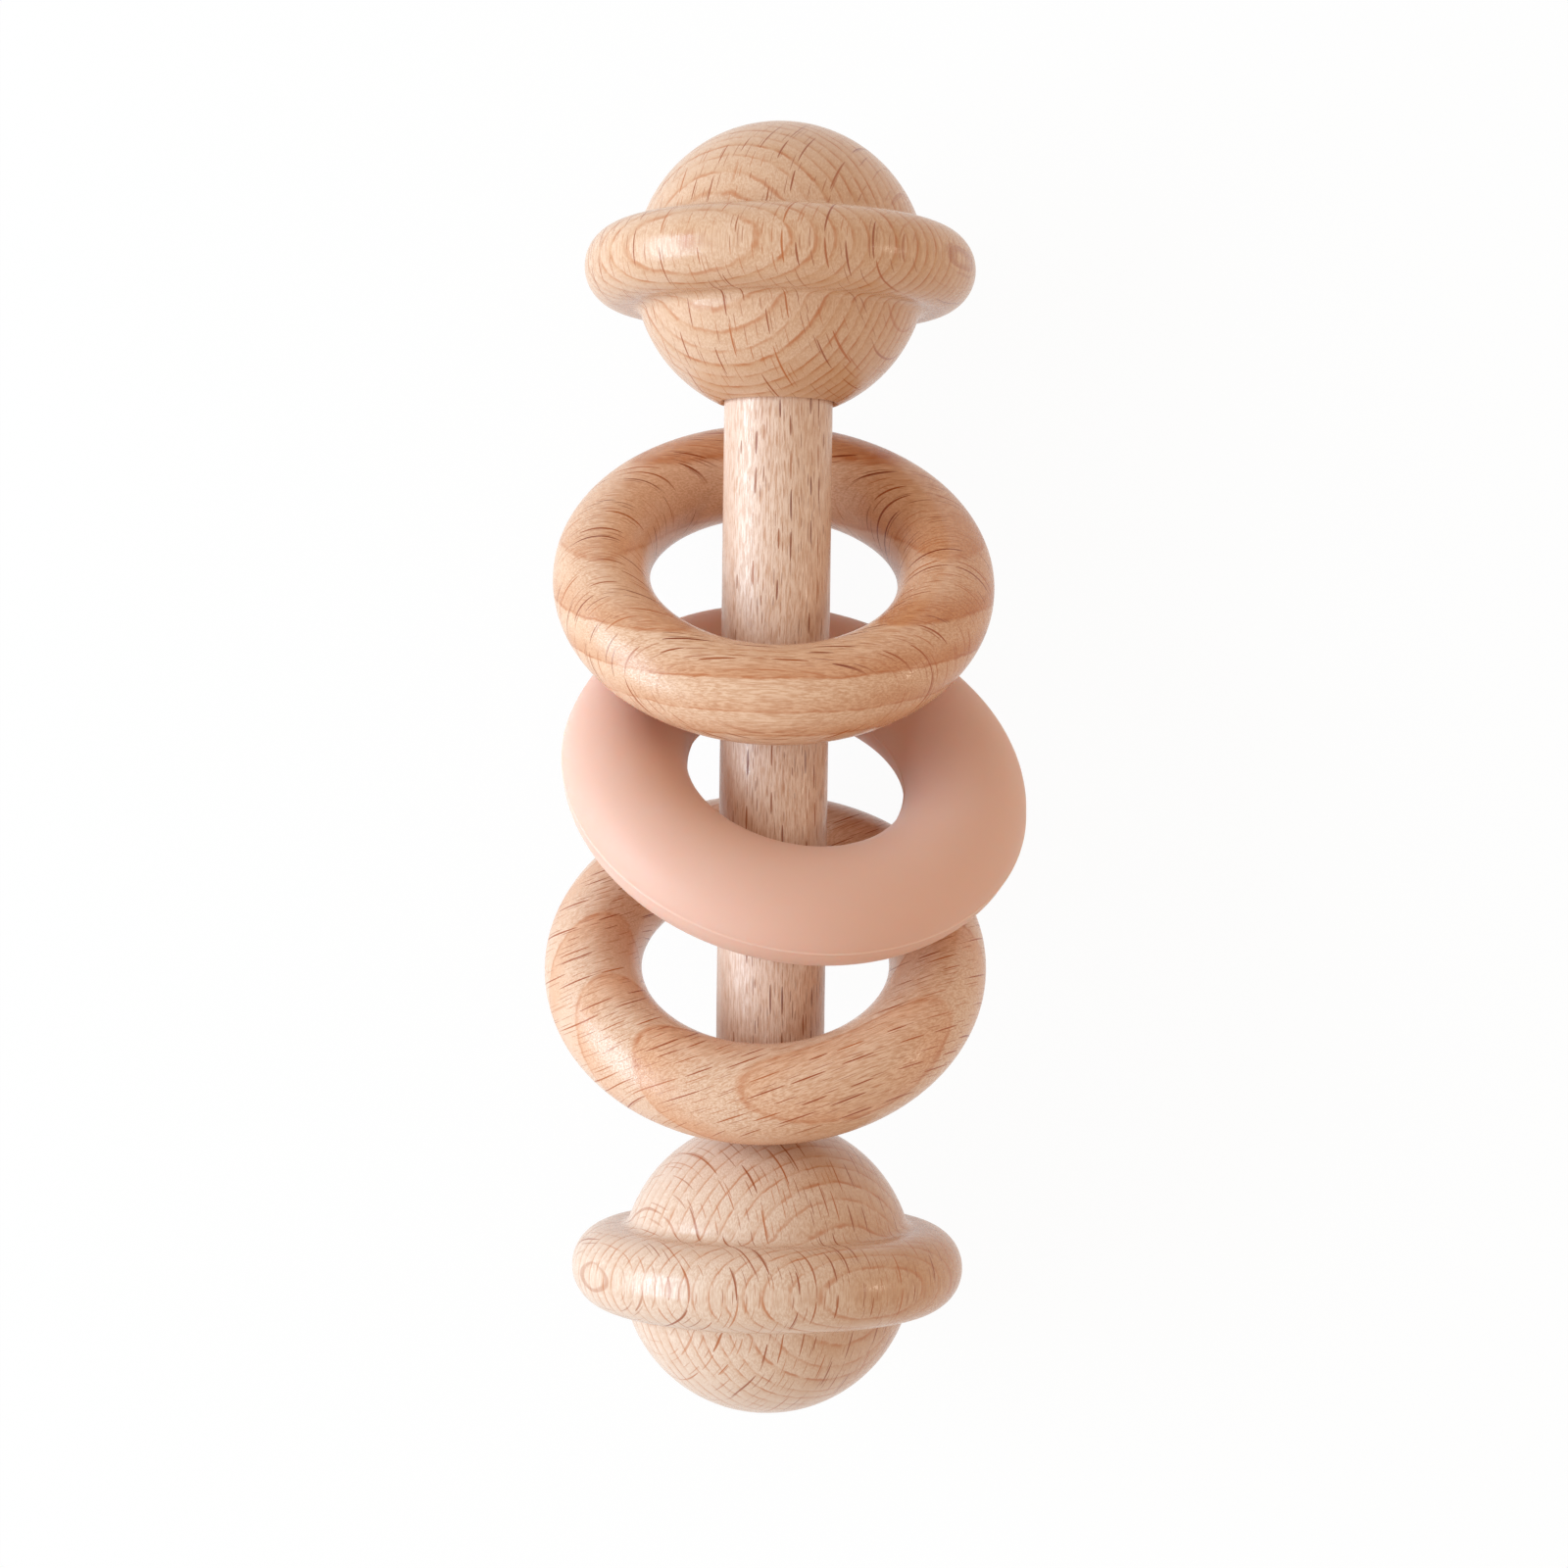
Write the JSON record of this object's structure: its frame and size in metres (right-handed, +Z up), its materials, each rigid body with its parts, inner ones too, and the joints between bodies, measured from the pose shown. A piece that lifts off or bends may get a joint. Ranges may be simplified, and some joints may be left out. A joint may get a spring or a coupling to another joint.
{
  "type": "ring rattle",
  "caption": "Baby rattle: a dowel with a turned, rimmed ball knob glued on each end and loose wooden and silicone rings that slide along it and clack together.",
  "frame": {"origin": "point on the table straight below the middle of the dowel", "axes": "+Y along the dowel, towards the knob that is upper in the picture; +Z up from the table; +X to the right as seen from above"},
  "size_m": [0.0446, 0.1188, 0.036],
  "materials": {
    "dowel_beech": "sanded, thin oil",
    "knob_beech": "turned and sanded, thin satin oil",
    "ring_beech": "turned and sanded, thin satin oil",
    "blush_silicone": "matte moulded silicone"
  },
  "bodies": {
    "handle": {"dowel": "dowel_beech", "upper_knob": "knob_beech", "lower_knob": "knob_beech"},
    "upper_ring": {"upper_ring": "ring_beech"},
    "silicone_ring": {"silicone_ring": "blush_silicone"},
    "lower_ring": {"lower_ring": "ring_beech"}
  },
  "joints": [
    {"name": "upper_ring_slide", "type": "slide", "parent": "handle", "child": "upper_ring", "axis": [0, 1, 0], "range_m": [-0.0008, 0.005]},
    {"name": "silicone_ring_slide", "type": "slide", "parent": "handle", "child": "silicone_ring", "axis": [0, 1, 0], "range_m": [-0.00075, 0.0008]},
    {"name": "lower_ring_slide", "type": "slide", "parent": "handle", "child": "lower_ring", "axis": [0, 1, 0], "range_m": [-0.0013, 0.00075]}
  ]
}
